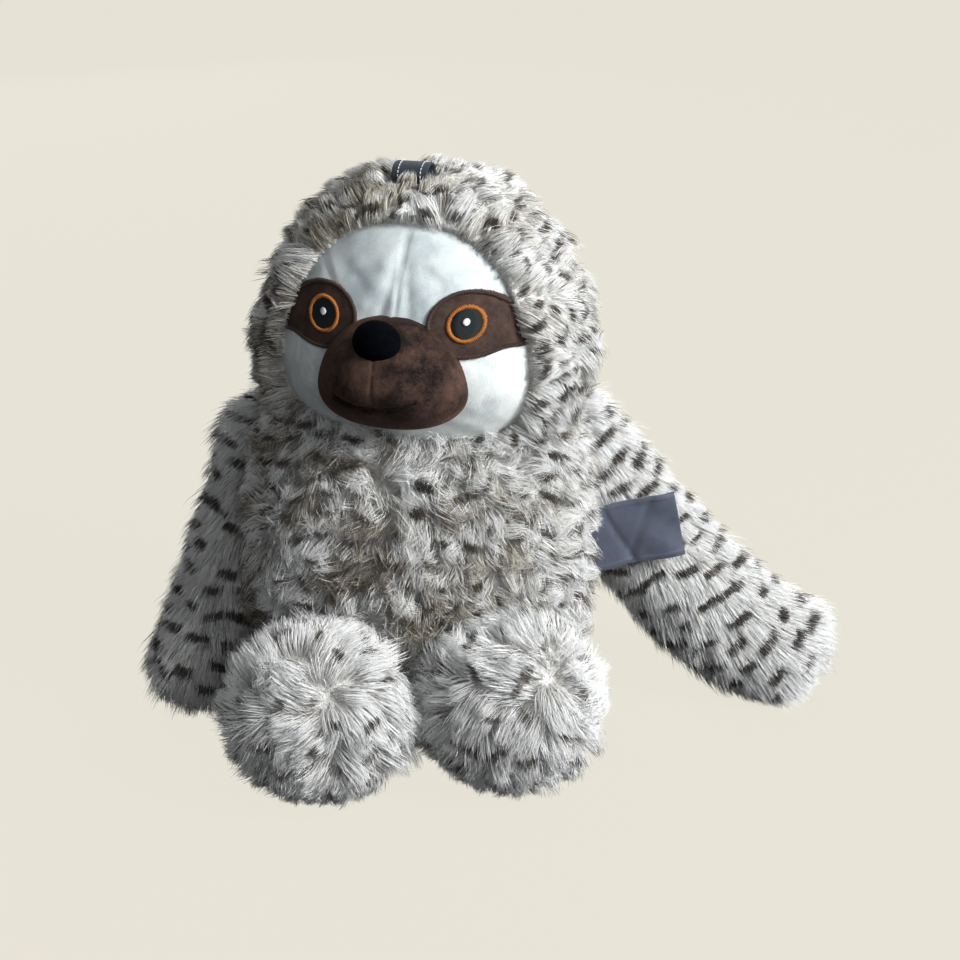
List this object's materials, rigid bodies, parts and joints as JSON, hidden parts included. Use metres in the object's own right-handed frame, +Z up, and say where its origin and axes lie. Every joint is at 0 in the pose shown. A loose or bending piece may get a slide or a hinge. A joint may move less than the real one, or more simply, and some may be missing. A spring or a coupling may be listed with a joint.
{
  "type": "plush sloth",
  "caption": "Sitting long-pile plush sloth with a short-pile face, velvet muzzle, embroidered eyes, hanging loop and ribbon label, whose head, arms and legs turn on its body.",
  "frame": {"origin": "on the resting plane, at the flat seat under the torso", "axes": "+Z up, -Y the way the toy's body faces, +X towards the toy's own left"},
  "size_m": [0.4158, 0.237, 0.3452],
  "materials": {
    "fur": "long shaggy off-white pile with brown and olive flecks",
    "fibre": "loose polyester filling",
    "panel_pile": "short white plush",
    "muzzle_velvet": "dark brown velvet",
    "patch_velvet": "brown velvet with a satin-stitched edge",
    "nose_velvet": "black velvet",
    "orange_thread": "satin-stitched thread",
    "slate_thread": "satin-stitched thread",
    "white_thread": "satin-stitched thread",
    "brown_thread": "stitched thread",
    "webbing": "woven navy webbing",
    "ribbon": "navy satin ribbon"
  },
  "bodies": {
    "torso": {"torso_fur_skin": "fur", "torso_stuffing": "fibre"},
    "head": {"head_fur_hood": "fur", "head_stuffing": "fibre", "face_panel": "panel_pile", "left_eye_patch": "patch_velvet", "right_eye_patch": "patch_velvet", "left_eye_ring": "orange_thread", "right_eye_ring": "orange_thread", "left_pupil": "slate_thread", "right_pupil": "slate_thread", "left_eye_glint": "white_thread", "right_eye_glint": "white_thread", "muzzle_cover": "muzzle_velvet", "muzzle_stuffing": "fibre", "nose_pad": "nose_velvet", "mouth_stitching": "brown_thread", "crown_loop": "webbing"},
    "left_arm": {"left_arm_skin": "fur", "left_arm_stuffing": "fibre"},
    "right_arm": {"right_arm_skin": "fur", "right_arm_stuffing": "fibre"},
    "left_leg": {"left_leg_skin": "fur", "left_leg_stuffing": "fibre"},
    "right_leg": {"right_leg_skin": "fur", "right_leg_stuffing": "fibre"},
    "label": {"care_label": "ribbon"}
  },
  "joints": [
    {"name": "head_turn", "type": "hinge", "parent": "torso", "child": "head", "pos_m": [0, 0, 0.121], "axis": [0, 0, 1], "range_deg": [-12, 45]},
    {"name": "left_shoulder_raise", "type": "hinge", "parent": "torso", "child": "left_arm", "pos_m": [0.087, 0.03, 0.16], "axis": [0, -1, 0], "range_deg": [0, 40]},
    {"name": "right_shoulder_raise", "type": "hinge", "parent": "torso", "child": "right_arm", "pos_m": [-0.087, 0.03, 0.16], "axis": [0, 1, 0], "range_deg": [0, 60]},
    {"name": "left_hip_swing", "type": "hinge", "parent": "torso", "child": "left_leg", "pos_m": [0.05, -0.046, 0.0432], "axis": [0, 0, 1], "range_deg": [0, 24]},
    {"name": "right_hip_swing", "type": "hinge", "parent": "torso", "child": "right_leg", "pos_m": [-0.05, -0.046, 0.0432], "axis": [0, 0, -1], "range_deg": [0, 24]},
    {"name": "label_flap", "type": "hinge", "parent": "torso", "child": "label", "pos_m": [0.10256, -0.018, 0.116], "axis": [0.0164, 0, -0.9999], "range_deg": [-5, 60], "stiffness_Nm_per_rad": 0.0002}
  ]
}
